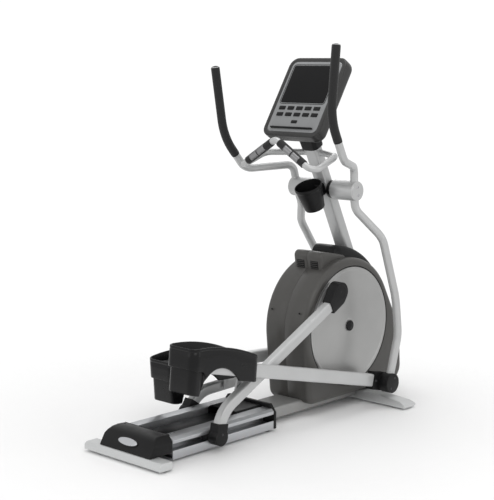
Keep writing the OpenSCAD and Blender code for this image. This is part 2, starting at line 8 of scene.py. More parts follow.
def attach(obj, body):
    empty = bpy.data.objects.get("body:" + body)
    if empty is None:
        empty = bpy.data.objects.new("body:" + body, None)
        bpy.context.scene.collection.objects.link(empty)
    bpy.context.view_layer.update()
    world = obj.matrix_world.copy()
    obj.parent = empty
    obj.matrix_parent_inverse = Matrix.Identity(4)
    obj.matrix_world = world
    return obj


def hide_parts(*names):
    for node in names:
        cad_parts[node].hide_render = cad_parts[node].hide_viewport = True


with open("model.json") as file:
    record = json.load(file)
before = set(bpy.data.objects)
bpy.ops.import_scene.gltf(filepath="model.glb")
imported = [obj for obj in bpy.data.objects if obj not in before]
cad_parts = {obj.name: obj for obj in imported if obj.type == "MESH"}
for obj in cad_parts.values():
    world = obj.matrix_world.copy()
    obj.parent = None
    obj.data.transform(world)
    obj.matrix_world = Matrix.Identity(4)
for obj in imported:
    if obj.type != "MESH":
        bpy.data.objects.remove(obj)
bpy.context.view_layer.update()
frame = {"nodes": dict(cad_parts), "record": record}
record = frame["record"]

# ---------- driving dimensions, in metres, on the CAD frame ----------

MID = 0.84                      # the rear foot's back edge is at x = -MID
CRANK_RADIUS = 0.240
DISC_RADIUS = 0.270
PEDAL_PIVOT = (0.216, 0.058)    # on the link arm, from its roller
PIVOT_DROP = math.radians(5.8)
LINK_LENGTH = 0.905
LINK_Y = 0.175
ARM_Y = 0.218
SWING_Y = 0.265                 # the swing arm's lower tube
HUB_Y = 0.168                   # where the tubes meet the hub
GRIP_Y = 0.275
TUBE_R = 0.0185                 # the swing arm's lower tube
HANDLE_R = 0.0175
GRIP_R = 0.0195
BAR_R = 0.0145                  # the fixed handlebar
HUB_R = 0.044
HUB_OUT = 0.190
LINK_COVER_OUT = 0.199          # outer face of the covers on the link arm
FRONT_COVER_OUT = 0.290         # outer face of the front pivot's cover
SHROUD_HALF = 0.124
CONSOLE_W = 0.330
CONSOLE_H = 0.400
CONSOLE_LEAN = math.radians(32)

joint_at = {j["name"]: j.get("pos_m") for j in record["behaviour"]["joints"]}
slot_of = {s["node"]: s["material_slot"] for s in record["subparts"]}


def side_point(joint):
    """A joint's place in the side view."""
    p = joint_at[joint]
    return Vector((p[0], p[2]))


CRANK = side_point("crank_turn")
HUB = side_point("right_hub_turn")


def turned(p, angle):
    c, s = math.cos(angle), math.sin(angle)
    return Vector((p[0] * c - p[1] * s, p[0] * s + p[1] * c))


class Linkage:
    """The rest pose of one side, as matrices for its link, swing and pedal frames."""

    def __init__(self, side, lift, pin_angle):
        self.side = side
        self.sign = -1 if side == "right" else 1
        self.roller = side_point(lift)
        self.front = side_point(side + "_front_axle_turn")
        self.pin = CRANK + CRANK_RADIUS * Vector((math.cos(pin_angle), math.sin(pin_angle)))
        reach = self.pin - self.roller
        self.tilt = math.atan2(reach.y, reach.x)
        pivot = self.roller + turned(PEDAL_PIVOT, self.tilt)
        arm = self.front - pivot
        self.arm_tilt = math.atan2(arm.y, arm.x) - PIVOT_DROP
        drop = self.front - HUB
        self.swing_tilt = math.atan2(drop.x, -drop.y)
        self.plain = Matrix.Diagonal((1, self.sign, 1, 1))
        self.outward = self.plain @ Vector((0, 1, 0))
        self.link = self.frame(self.roller, self.tilt)
        self.swing = self.frame(HUB, self.swing_tilt)
        self.pedal = self.frame(self.front, self.arm_tilt)

    def frame(self, p, angle):
        return self.plain @ Matrix.Translation((p.x, 0, p.y)) @ Matrix.Rotation(-angle, 4, "Y")


SIDES = [Linkage("right", "link_lift", math.radians(130)),
         Linkage("left", "left_link_lift", math.radians(310))]

# ---------- camera, light and floor ----------


def make_camera():
    data = bpy.data.cameras.new("view")
    camera = bpy.data.objects.new("view", data)
    bpy.context.scene.collection.objects.link(camera)
    camera.location = (CAMERA_AT[0] - MID, CAMERA_AT[1], CAMERA_AT[2])
    yaw, pitch = math.radians(CAMERA_YAW), math.radians(CAMERA_PITCH)
    look = Vector((math.cos(yaw) * math.cos(pitch), math.sin(yaw) * math.cos(pitch), -math.sin(pitch)))
    camera.rotation_euler = look.to_track_quat("-Z", "Y").to_euler()
    data.lens = CAMERA_LENS
    data.sensor_width = 36
    bpy.context.scene.camera = camera


CAMERA_AT = (-3.230, -3.736, 1.58)
CAMERA_YAW = 43.37
CAMERA_PITCH = 8.45
CAMERA_LENS = 92.8


def area_light(name, place, target, size, power, tint=(1, 1, 1)):
    data = bpy.data.lights.new(name, "AREA")
    data.shape = "RECTANGLE"
    data.size, data.size_y = size
    data.energy = power
    data.color = tint
    lamp = bpy.data.objects.new(name, data)
    bpy.context.scene.collection.objects.link(lamp)
    lamp.location = place
    lamp.rotation_euler = (Vector(target) - Vector(place)).to_track_quat("-Z", "Y").to_euler()


WORLD_LIGHT = 0.74
WORLD_SEEN = 1.05


def make_studio():
    area_light("key", (-2.2, -3.4, 3.6), (0, 0, 0.6), (2.4, 2.4), 38, (1.0, 0.99, 0.98))
    area_light("fill", (-4.2, 1.6, 2.0), (0, 0, 0.7), (2.0, 2.6), 12)
    area_light("top", (0.3, 0.2, 4.2), (0.1, 0, 0.3), (2.6, 2.2), 30)
    area_light("rim", (2.6, 2.2, 2.6), (0.2, 0, 0.9), (1.2, 2.4), 12)
    area_light("strip", (1.4, -3.6, 1.6), (0.3, 0, 0.7), (0.6, 2.4), 9)
    world = bpy.data.worlds.new("studio")
    world.use_nodes = True
    tree = world.node_tree
    backdrop = tree.nodes["Background"]
    backdrop.inputs["Color"].default_value = (1, 1, 1, 1)
    # The white backdrop is brighter than the light that it casts.
    path = tree.nodes.new("ShaderNodeLightPath")
    strength = tree.nodes.new("ShaderNodeMapRange")
    strength.inputs["To Min"].default_value = WORLD_LIGHT
    strength.inputs["To Max"].default_value = WORLD_SEEN
    link(tree, path.outputs["Is Camera Ray"], strength.inputs["Value"])
    link(tree, strength.outputs["Result"], backdrop.inputs["Strength"])
    bpy.context.scene.world = world
    bpy.context.scene.view_settings.view_transform = "Standard"


FLOOR_FADE = (0.9, 2.0)         # the floor melts into the backdrop between these radii
FLOOR_HALF = 40


def make_floor():
    mesh = bpy.data.meshes.new("floor")
    far = FLOOR_HALF
    mesh.from_pydata([(-far, -far, 0), (far, -far, 0), (far, far, 0), (-far, far, 0)], [], [(0, 1, 2, 3)])
    floor = bpy.data.objects.new("floor", mesh)
    bpy.context.scene.collection.objects.link(floor)
    floor.location.z = -0.0004
    material, shader = new_material("floor_white")
    set_inputs(shader, {"Base Color": (0.965, 0.965, 0.965, 1), "Roughness": 0.8})
    tree = material.node_tree
    distance = tree.nodes.new("ShaderNodeVectorMath")
    distance.operation = "LENGTH"
    link(tree, coordinates(tree), distance.inputs[0])
    shown = remap(tree, distance.outputs["Value"], 1, 0, *FLOOR_FADE)
    link(tree, shown, shader.inputs["Alpha"])
    mesh.materials.append(material)


# ---------- materials ----------


def new_material(name):
    material = bpy.data.materials.new(name)
    material.use_nodes = True
    return material, material.node_tree.nodes["Principled BSDF"]


def set_inputs(shader, values):
    for key, value in values.items():
        shader.inputs[key].default_value = value


def link(tree, a, b):
    tree.links.new(a, b)


def coordinates(tree, scale=(1, 1, 1), shift=(0, 0, 0)):
    place = tree.nodes.new("ShaderNodeTexCoord")
    mapping = tree.nodes.new("ShaderNodeMapping")
    mapping.inputs["Scale"].default_value = scale
    mapping.inputs["Location"].default_value = shift
    link(tree, place.outputs["Object"], mapping.inputs["Vector"])
    return mapping.outputs["Vector"]


def noise(tree, vector, scale, detail=4.0, rough=0.55):
    node = tree.nodes.new("ShaderNodeTexNoise")
    node.inputs["Scale"].default_value = scale
    node.inputs["Detail"].default_value = detail
    node.inputs["Roughness"].default_value = rough
    link(tree, vector, node.inputs["Vector"])
    return node.outputs["Fac"]


def remap(tree, value, low, high, from_low=0.3, from_high=0.7):
    node = tree.nodes.new("ShaderNodeMapRange")
    node.inputs["From Min"].default_value = from_low
    node.inputs["From Max"].default_value = from_high
    node.inputs["To Min"].default_value = low
    node.inputs["To Max"].default_value = high
    link(tree, value, node.inputs["Value"])
    return node.outputs["Result"]


def two_tone(tree, factor, dark, light):
    node = tree.nodes.new("ShaderNodeMix")
    node.data_type = "RGBA"
    node.inputs["A"].default_value = (*dark, 1)
    node.inputs["B"].default_value = (*light, 1)
    link(tree, factor, node.inputs["Factor"])
    return node.outputs["Result"]


def bump(tree, shader, height, strength, distance):
    node = tree.nodes.new("ShaderNodeBump")
    node.inputs["Strength"].default_value = strength
    node.inputs["Distance"].default_value = distance
    link(tree, height, node.inputs["Height"])
    link(tree, node.outputs["Normal"], shader.inputs["Normal"])


def shade(color, factor):
    return tuple(min(1, c * factor) for c in color)


def surface(name, color, rough, metal=0.0, spread=0.06, grain=900, relief=0.0002, strength=0.25,
            stretch=(1, 1, 1), coat=0.0, extra=None):
    """A material with uneven colour, uneven roughness and a fine relief."""
    material, shader = new_material(name)
    tree = material.node_tree
    soft = noise(tree, coordinates(tree), 7, 5)
    fine = noise(tree, coordinates(tree, stretch), grain, 3)
    tone = two_tone(tree, remap(tree, soft, 0, 1), shade(color, 1 - spread), shade(color, 1 + spread))
    link(tree, tone, shader.inputs["Base Color"])
    worn = remap(tree, noise(tree, coordinates(tree, shift=(3, 1, 2)), 16, 6), rough * 0.85, rough * 1.18)
    link(tree, worn, shader.inputs["Roughness"])
    bump(tree, shader, fine, strength, relief)
    set_inputs(shader, {"Metallic": metal, "Coat Weight": coat, "Coat Roughness": 0.12})
    set_inputs(shader, extra or {})
    return material


def foam(name, color):
    material, shader = new_material(name)
    tree = material.node_tree
    cells = tree.nodes.new("ShaderNodeTexVoronoi")
    cells.inputs["Scale"].default_value = 620
    link(tree, coordinates(tree), cells.inputs["Vector"])
    tone = two_tone(tree, cells.outputs["Distance"], shade(color, 0.75), shade(color, 1.35))
    link(tree, tone, shader.inputs["Base Color"])
    bump(tree, shader, cells.outputs["Distance"], 0.5, 0.0006)
    set_inputs(shader, {"Roughness": 0.78, "Sheen Weight": 0.15})
    return material


def turned_disc(name, color):
    """Silver paint over fine rings round the crank axle."""
    material, shader = new_material(name)
    tree = material.node_tree
    rings = tree.nodes.new("ShaderNodeTexWave")
    rings.wave_type = "RINGS"
    rings.rings_direction = "Y"
    rings.inputs["Scale"].default_value = 260
    rings.inputs["Distortion"].default_value = 0.6
    link(tree, coordinates(tree, shift=(-CRANK.x, 0, -CRANK.y)), rings.inputs["Vector"])
    soft = noise(tree, coordinates(tree), 5, 4)
    tone = two_tone(tree, remap(tree, soft, 0, 1), shade(color, 0.95), shade(color, 1.05))
    link(tree, tone, shader.inputs["Base Color"])
    link(tree, remap(tree, soft, 0.30, 0.38), shader.inputs["Roughness"])
    bump(tree, shader, rings.outputs["Fac"], 0.06, 0.0003)
    set_inputs(shader, {"Metallic": 0.75, "Coat Weight": 0.2})
    return material


MATERIALS = {
    "foot_silver": surface("foot_silver", (0.60, 0.61, 0.61), 0.34, 0.3, spread=0.03, grain=2400,
                           relief=0.00005, strength=0.08, coat=0.3),
    "rubber_pads": surface("rubber_pads", (0.03, 0.03, 0.03), 0.8, grain=400, relief=0.0004),
    "black_cover": surface("black_cover", (0.007, 0.007, 0.0074), 0.40, spread=0.2, grain=1300,
                           relief=0.0002, strength=0.2, extra={"Specular IOR Level": 0.22}),
    "rail_alloy": surface("rail_alloy", (0.52, 0.53, 0.545), 0.32, 0.9, spread=0.04, grain=900,
                          stretch=(0.02, 1, 1), relief=0.00008, strength=0.25),
    "gloss_black": surface("gloss_black", (0.004, 0.004, 0.0045), 0.40, spread=0.2, grain=1800,
                           relief=0.00001, extra={"Specular IOR Level": 0.16}),
    "frame_grey": surface("frame_grey", (0.33, 0.33, 0.325), 0.38, 0.4, spread=0.04, grain=2400,
                          relief=0.00005, strength=0.08, coat=0.2),
    "shroud_grey": surface("shroud_grey", (0.075, 0.073, 0.069), 0.36, spread=0.04, grain=1500,
                           strength=0.15, relief=0.0001, extra={"Specular IOR Level": 0.4}),
    "bezel_grey": surface("bezel_grey", (0.27, 0.275, 0.28), 0.36, 0.2, relief=0.0001, strength=0.12),
    "tube_silver": surface("tube_silver", (0.52, 0.525, 0.525), 0.36, 0.35, spread=0.03, grain=2400,
                           relief=0.00005, strength=0.06, coat=0.12),
    "grip_foam": foam("grip_foam", (0.008, 0.008, 0.0084)),
    "bright_steel": surface("bright_steel", (0.50, 0.50, 0.515), 0.26, 1.0, grain=500,
                            relief=0.00005, strength=0.12, stretch=(1, 0.05, 1)),
    "belt_rubber": surface("belt_rubber", (0.02, 0.02, 0.02), 0.75, grain=350, relief=0.0004),
    "wheel_plastic": surface("wheel_plastic", (0.04, 0.04, 0.042), 0.45, spread=0.12),
    "disc_silver": turned_disc("disc_silver", (0.43, 0.43, 0.425)),
    "flywheel_iron": surface("flywheel_iron", (0.10, 0.10, 0.105), 0.38, 0.8, grain=300),
    "pedal_black": surface("pedal_black", (0.005, 0.005, 0.0054), 0.24, spread=0.15, relief=0.00004,
                           strength=0.1, extra={"Specular IOR Level": 0.26}),
    "foot_rubber": surface("foot_rubber", (0.026, 0.026, 0.027), 0.7, spread=0.12, grain=600,
                           relief=0.0004),
}
EMBLEM = surface("emblem_alloy", (0.55, 0.56, 0.58), 0.3, 0.8)
CHARCOAL = surface("console_charcoal", (0.026, 0.0255, 0.025), 0.33, spread=0.08, grain=1400,
                   relief=0.0001, strength=0.15)
CONTACT = surface("contact_steel", (0.30, 0.30, 0.305), 0.34, 1.0, relief=0.00004, strength=0.1)

# ---------- mesh building ----------


def add_piece(name, mesh, body, slot, material=None, node=None, keep_angle=40):
    mesh.materials.clear()
    mesh.materials.append(material or MATERIALS[slot])
    mesh.polygons.foreach_set("use_smooth", [True] * len(mesh.polygons))
    mesh.set_sharp_from_angle(angle=math.radians(keep_angle))
    piece = bpy.data.objects.new(name, mesh)
    bpy.context.scene.collection.objects.link(piece)
    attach(piece, body)
    if node:
        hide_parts(node)
    return piece


def mesh_from(name, points, faces, matrix=None):
    mesh = bpy.data.meshes.new(name)
    if matrix:
        points = [matrix @ Vector(p) for p in points]
    mesh.from_pydata([tuple(p) for p in points], [], faces)
    bm = bmesh.new()
    bm.from_mesh(mesh)
    bmesh.ops.remove_doubles(bm, verts=bm.verts, dist=1e-6)
    bmesh.ops.recalc_face_normals(bm, faces=bm.faces)
    bm.to_mesh(mesh)
    bm.free()
    return mesh


def loft(loops, capped=True, wrap=False):
    """Quads between loops of equal length; capped closes the end loops with strips of quads."""
    count = len(loops[0])
    points = [p for loop in loops for p in loop]
    faces = []
    for i in range(len(loops) - (0 if wrap else 1)):
        a, b = i * count, (i + 1) % len(loops) * count
        for k in range(count):
            n = (k + 1) % count
            faces.append((a + k, a + n, b + n, b + k))
    for e in (0, len(loops) - 1) if capped else ():
        base = e * count
        for k in range(count // 2 - 1):
            faces.append((base + k, base + k + 1, base + count - 2 - k, base + count - 1 - k))
    return points, faces


def lathe_mesh(name, profile, matrix, segments=96):
    """Turns (radius, height) pairs about local Z."""
    loops = []
    for r, h in profile:
        loops.append([Vector((r * math.cos((k + 0.5) * math.tau / segments),
                              r * math.sin((k + 0.5) * math.tau / segments), h)) for k in range(segments)])
    return mesh_from(name, *loft(loops), matrix)


def along_y(p, matrix=None):
    """A frame whose Z runs along Y, through side-view point p."""
    turn = Matrix.Translation((p[0], 0, p[1])) @ Matrix.Rotation(-math.pi / 2, 4, "X")
    return (matrix or Matrix.Identity(4)) @ turn


def stations(points, bends, steps=12):
    points = [Vector(p) for p in points]
    out = [(points[0], (points[1] - points[0]).normalized())]
    for i in range(1, len(points) - 1):
        u = (points[i] - points[i - 1]).normalized()
        v = (points[i + 1] - points[i]).normalized()
        angle = u.angle(v)
        inward = (v - v.dot(u) * u).normalized()
        r = bends[i - 1]
        centre = points[i] - u * r * math.tan(angle / 2) + inward * r
        for k in range(steps + 1):
            t = angle * k / steps
            out.append((centre + r * (u * math.sin(t) - inward * math.cos(t)),
                        u * math.cos(t) + inward * math.sin(t)))
    out.append((points[-1], (points[-1] - points[-2]).normalized()))
    return out


def round_profile(r, count=32):
    return [(r * math.cos((k + 0.5) * math.tau / count), r * math.sin((k + 0.5) * math.tau / count))
            for k in range(count)]


def rounded_profile(w, h, r, steps=6):
    """A rounded rectangle that starts on +X and is symmetric about the X axis."""
    corners = [(w / 2 - r, h / 2 - r, 0), (r - w / 2, h / 2 - r, 90), (r - w / 2, r - h / 2, 180),
               (w / 2 - r, r - h / 2, 270)]
    out = []
    for cx, cy, start in corners:
        for k in range(steps + 1):
            t = math.radians(start + 90 * k / steps)
            out.append((cx + r * math.cos(t), cy + r * math.sin(t)))
    return out


def swept_mesh(name, points, bends, profile, matrix=None, up=(0, 1, 0), crown=0.0):
    """Sweeps a profile along a route. crown rounds the far end over that length."""
    rows = [(p, d, 1.0) for p, d in stations(points, bends)]
    if crown:
        end, way, _ = rows.pop()
        for k in range(9):
            a = math.pi / 2 * k / 8
            rows.append((end - way * crown * (1 - math.sin(a)), way, max(math.cos(a), 0.02)))
    loops = []
    for p, d, s in rows:
        side = Vector(up).cross(d).normalized()
        high = d.cross(side)
        loops.append([p + s * (side * a + high * b) for a, b in profile])
    return mesh_from(name, *loft(loops), matrix)


def refined(node, body, width=0.0015, segments=3):
    """The CAD node's own shape with every edge rounded."""
    source = frame["nodes"][node]
    mesh = source.data.copy()
    bm = bmesh.new()
    bm.from_mesh(mesh)
    bmesh.ops.remove_doubles(bm, verts=bm.verts, dist=1e-6)
    bmesh.ops.dissolve_limit(bm, angle_limit=math.radians(0.5), verts=bm.verts, edges=bm.edges)
    bmesh.ops.recalc_face_normals(bm, faces=bm.faces)
    bm.to_mesh(mesh)
    bm.free()
    piece = add_piece(node + "_finished", mesh, body, slot_of[node], node=node, keep_angle=180)
    bevel = piece.modifiers.new("round", "BEVEL")
    bevel.width = width
    bevel.segments = segments
    bevel.limit_method = "ANGLE"
    bevel.angle_limit = math.radians(35)
    bevel.harden_normals = True
    bevel.use_clamp_overlap = True
    return piece


def block_mesh(name, size, radius, matrix, steps=3):
    """A box with rounded edges, centred in its frame."""
    mesh = bpy.data.meshes.new(name)
    bm = bmesh.new()
    bmesh.ops.create_cube(bm, size=1)
    for v in bm.verts:
        v.co = Vector((v.co.x * size[0], v.co.y * size[1], v.co.z * size[2]))
    bmesh.ops.bevel(bm, geom=bm.edges[:], offset=radius, segments=steps, profile=0.5, affect="EDGES")
    for v in bm.verts:
        v.co = matrix @ v.co
    bmesh.ops.recalc_face_normals(bm, faces=bm.faces)
    bm.to_mesh(mesh)
    bm.free()
    return mesh


def screw(name, place, outward, radius, body, slot="bright_steel"):
    """A domed socket screw whose head stands on a surface."""
    turn = Vector(outward).normalized().to_track_quat("Z", "Y").to_matrix().to_4x4()
    matrix = Matrix.Translation(place) @ turn
    r = radius
    profile = [(r, -0.0008), (r, 0.0004), (r * 0.94, 0.0010), (r * 0.72, 0.0018), (r * 0.50, 0.0021),
               (r * 0.46, 0.0019), (r * 0.44, 0.0002), (0.0001, 0.0002)]
    add_piece(name, lathe_mesh(name, profile, matrix, 24), body, slot)


def hull_outline(circles, count=260):
    """Evenly spaced points and normals round the hull of some circles."""
    raw = []
    for k in range(720):
        t = math.tau * k / 720
        n = Vector((math.cos(t), math.sin(t)))
        c, r = max(circles, key=lambda cr: n.dot(cr[0]) + cr[1])
        raw.append((c + n * r, n))
    raw.append(raw[0])
    lengths = [0]
    for a, b in zip(raw, raw[1:]):
        lengths.append(lengths[-1] + (b[0] - a[0]).length)
    out = []
    i = 0
    for k in range(count):
        d = lengths[-1] * k / count
        while lengths[i + 1] < d:
            i += 1
        f = (d - lengths[i]) / max(lengths[i + 1] - lengths[i], 1e-9)
        out.append((raw[i][0].lerp(raw[i + 1][0], f), raw[i][1].lerp(raw[i + 1][1], f).normalized()))
    return out


def at(x, z):
    """A side-view point given from the rear foot."""
    return Vector((x - MID, z))


# ---------- shroud and discs ----------

SHROUD_CIRCLES = [(CRANK, 0.310), (at(1.040, 0.100), 0.048), (at(1.500, 0.262), 0.170),
                  (at(1.600, 0.130), 0.078)]
NOSE_CIRCLES = [(at(1.140, 0.700), 0.024), (at(1.153, 0.620), 0.024), (at(1.270, 0.672), 0.030)]
WELL_RADIUS = DISC_RADIUS + 0.004
WELL_FLOOR = 0.1065
SEAM = [(0.0020, 0.0002), (0.0006, 0.0004), (0.0, 0.0012)]


def shell_profile(half, edge):
    """Pairs of (inset, y) from the seam round to the flat side."""
    rows = SEAM + [(0.0, half * 0.4), (0.0, half - edge)]
    for k in range(1, 9):
        a = math.pi / 2 * k / 8
        rows.append((edge * (1 - math.cos(a)), half - edge + edge * math.sin(a)))
    return rows


def shroud_shell(side):
    outline = hull_outline(SHROUD_CIRCLES)
    loops = []
    for inset, y in shell_profile(SHROUD_HALF, 0.026):
        loops.append([Vector(((p - n * inset).x, y, (p - n * inset).y)) for p, n in outline])
    for radius, y in [(WELL_RADIUS + 0.005, SHROUD_HALF), (WELL_RADIUS + 0.001, SHROUD_HALF - 0.0008),
                      (WELL_RADIUS, SHROUD_HALF - 0.003), (WELL_RADIUS, WELL_FLOOR), (0.2, WELL_FLOOR),
                      (0.02, WELL_FLOOR)]:
        ring = []
        for p, n in outline:
            spoke = CRANK + (p - CRANK).normalized() * radius
            ring.append(Vector((spoke.x, y, spoke.y)))
        loops.append(ring)
    mesh = mesh_from("shroud", *loft(loops, capped=False), side.plain)
    add_piece(side.side + "_shroud_shell", mesh, "base", "shroud_grey", node=side.side + "_shroud")


def nose_shell(side):
    outline = hull_outline(NOSE_CIRCLES, 96)
    loops = []
    for inset, y in shell_profile(0.080, 0.012):
        loops.append([Vector(((p - n * inset).x, y, (p - n * inset).y)) for p, n in outline])
    centre = sum((p for p, n in outline), Vector((0, 0))) / len(outline)
    for pull in (0.3, 0.6, 0.95):
        loops.append([Vector((p.lerp(centre, pull).x, 0.080, p.lerp(centre, pull).y))
                      for p, n in [(q - m * 0.012, m) for q, m in outline]])
    mesh = mesh_from("nose", *loft(loops, capped=False), side.plain)
    add_piece(side.side + "_shroud_nose", mesh, "base", "shroud_grey")


SLATS = 5
SLAT_PITCH = 0.009
SLAT_TILT = math.radians(28)


def louvres(side):
    """A recessed vent with slats on the nose's rear face."""
    low, high = at(1.129, 0.620), at(1.116, 0.700)
    rise = (high - low).normalized()
    lean = math.atan2(-rise.x, rise.y)
    middle = low.lerp(high, 0.5)
    face = (side.plain @ Matrix.Translation((middle.x, 0.040, middle.y))
            @ Matrix.Rotation(-lean, 4, "Y"))
    panel = block_mesh("vent", (0.003, 0.046, 0.046), 0.0012, face @ Matrix.Translation((0.0005, 0, 0)))
    add_piece(side.side + "_vent_well", panel, "base", "black_cover")
    tilt = Matrix.Rotation(SLAT_TILT, 4, "Y")
    for k in range(SLATS):
        place = face @ Matrix.Translation((-0.0016, 0, SLAT_PITCH * (k - (SLATS - 1) / 2))) @ tilt
        slat = block_mesh("slat", (0.0055, 0.042, 0.0018), 0.0007, place)
        add_piece("%s_vent_slat_%d" % (side.side, k + 1), slat, "base", "shroud_grey")


DISC_SEGMENTS = 160


def crank_disc(side):
    """A silver disc, its axle cap and crank pin, and a black ring that paints the shade in the gap round
    the disc.
    """
    body = "crank"
    y = SHROUD_HALF
    rim = DISC_RADIUS
    profile = [(0.0001, WELL_FLOOR + 0.003), (rim - 0.001, WELL_FLOOR + 0.003), (rim, WELL_FLOOR + 0.004),
               (rim, y - 0.004), (rim - 0.0012, y - 0.0014), (rim - 0.004, y - 0.0003), (rim - 0.010, y),
               (rim - 0.014, y - 0.0006), (rim - 0.017, y - 0.0022), (rim - 0.030, y - 0.0026),
               (0.12, y - 0.0016), (0.045, y - 0.0012), (0.034, y - 0.0010), (0.031, y - 0.0022),
               (0.0001, y - 0.0022)]
    mesh = lathe_mesh("disc", profile, along_y(CRANK, side.plain), DISC_SEGMENTS)
    add_piece(side.side + "_disc", mesh, body, "disc_silver", node=side.side + "_crank_disc", keep_angle=25)
    cap = [(0.024, y - 0.0024), (0.024, y + 0.0016), (0.0232, y + 0.0026), (0.021, y + 0.0031),
           (0.0175, y + 0.0031), (0.0168, y + 0.0024), (0.0160, y + 0.0031), (0.008, y + 0.0043),
           (0.0001, y + 0.0046)]
    add_piece(side.side + "_axle_cap", lathe_mesh("cap", cap, along_y(CRANK, side.plain), 64), body,
              "black_cover")
    pin = [(0.0139, y - 0.003), (0.0139, 0.149), (0.0130, 0.150), (0.0001, 0.150)]
    add_piece(side.side + "_pin_stub", lathe_mesh("pin", pin, along_y(side.pin, side.plain), 48), body,
              "bright_steel")
    # Painted shade: a black ring sits at the bottom of the gap round the disc in place of the shade there.
    well = WELL_RADIUS - 0.0004
    ring = [(rim + 0.0006, y - 0.010), (rim + 0.0006, y - 0.0022), (well, y - 0.0016), (well, y - 0.010)]
    mesh = lathe_mesh("seal", ring, along_y(CRANK, side.plain), DISC_SEGMENTS)
    add_piece(side.side + "_disc_gap_shade", mesh, "base", "black_cover")


REAR_SCREWS = [(0.972, 0.470, 0.105), (0.984, 0.240, 0.108), (0.9925, 0.110, 0.104)]


def shroud_screws(side):
    """Three screws down the half's rear edge and one bolt low near the front."""
    for k, (x, z, y) in enumerate(REAR_SCREWS):
        place = side.plain @ Vector((x - MID + 0.0022, y - 0.024, z))
        screw("%s_shroud_screw_%d" % (side.side, k + 1), place, (-1, 0, 0.05), 0.0045, "base",
              "black_cover")
    bolt = side.plain @ Vector((1.590 - MID, SHROUD_HALF, 0.150))
    screw(side.side + "_shroud_bolt", bolt, side.outward, 0.007, "base", "black_cover")


COLLAR_REAR_RISE = 0.058
COLLAR_FRONT_RISE = 0.018
COLLAR_HALF = 0.077
COLLAR_ENDS = (1.222, 1.540)    # from the rear foot


def mast_collar():
    """A saddle over the shroud's top, from the nose down the front slope."""
    outline = hull_outline(SHROUD_CIRCLES, 400)
    low_x, high_x = (at(x, 0).x for x in COLLAR_ENDS)
    run = [(p, n) for p, n in outline if n.y > 0.2 and low_x < p.x < high_x]
    run.sort(key=lambda pn: pn[0].x)
    loops = []
    last = len(run) - 1
    for i, (p, n) in enumerate(run):
        t = i / last
        near_end = 1 - min(min(t, 1 - t) * 9, 1)
        crest = COLLAR_FRONT_RISE + (COLLAR_REAR_RISE - COLLAR_FRONT_RISE) * (1 - t) ** 1.5
        rise = crest * math.sqrt(max(0.0, 1 - near_end ** 2)) + 0.0008
        wide = COLLAR_HALF - 0.008 * near_end
        loop = []
        section = [(wide, -0.002), (wide, 0.1 * rise), (wide - 0.001, 0.45 * rise),
                   (wide - 0.004, 0.75 * rise), (wide - 0.009, 0.93 * rise), (wide - 0.016, rise),
                   (wide - 0.045, rise * 1.02)]
        for y, h in section:
            loop.append(Vector(((p + n * h).x, y, (p + n * h).y)))
        loop += [Vector((v.x, -v.y, v.z)) for v in reversed(loop)]
        loops.append(loop)
    mesh = mesh_from("collar", *loft(loops))
    add_piece("collar_saddle", mesh, "base", "black_cover", node="mast_collar", keep_angle=60)


# ---------- mast, console, fixed handlebar, cup holder ----------

MAST_DEEP, MAST_WIDE = 0.050, 0.073
MAST_BEND = 0.14
MAST_PATH = [at(1.500, 0.106), at(1.405, 0.668), at(1.130, 1.234)]
MAST_WAY = (MAST_PATH[2] - MAST_PATH[1]).normalized()
MAST_LEAN = math.atan2(-MAST_WAY.x, MAST_WAY.y)


def mast_tube():
    points = [(p.x, 0, p.y) for p in MAST_PATH]
    mesh = swept_mesh("mast", points, [MAST_BEND], rounded_profile(MAST_DEEP, MAST_WIDE, 0.014))
    add_piece("mast_tube", mesh, "base", "frame_grey", MATERIALS["tube_silver"], node="mast")


CONSOLE = Matrix.Translation((1.092 - MID, 0, 1.415)) @ Matrix.Rotation(CONSOLE_LEAN, 4, "Y")
CONSOLE_SIZE = (CONSOLE_W, CONSOLE_H, 0.045)    # width, height and corner radius
FACE_SIZE = (0.286, 0.356, 0.026)
GLASS_SIZE = (0.250, 0.190, 0.010)
TRIM_SIZE = (0.262, 0.202, 0.015)
GLASS_UP = 0.062
KEY_ROWS = (-0.060, -0.092)
KEYS_IN_ROW = 5
KEY_PITCH = 0.050
START_DOWN = -0.128
LEDGE_DOWN = -0.160


def plate_mesh(name, rows, size, matrix, capped=True):
    """Rounded rectangles in the console's plane at (depth, inset), joined up."""
    w, h, corner = size
    loops = []
    for depth, inset in rows:
        r = max(corner - inset, 0.002)
        outline = rounded_profile(w - 2 * inset, h - 2 * inset, r, 8)
        loops.append([Vector((depth, a, b)) for a, b in outline])
    return mesh_from(name, *loft(loops, capped), matrix)


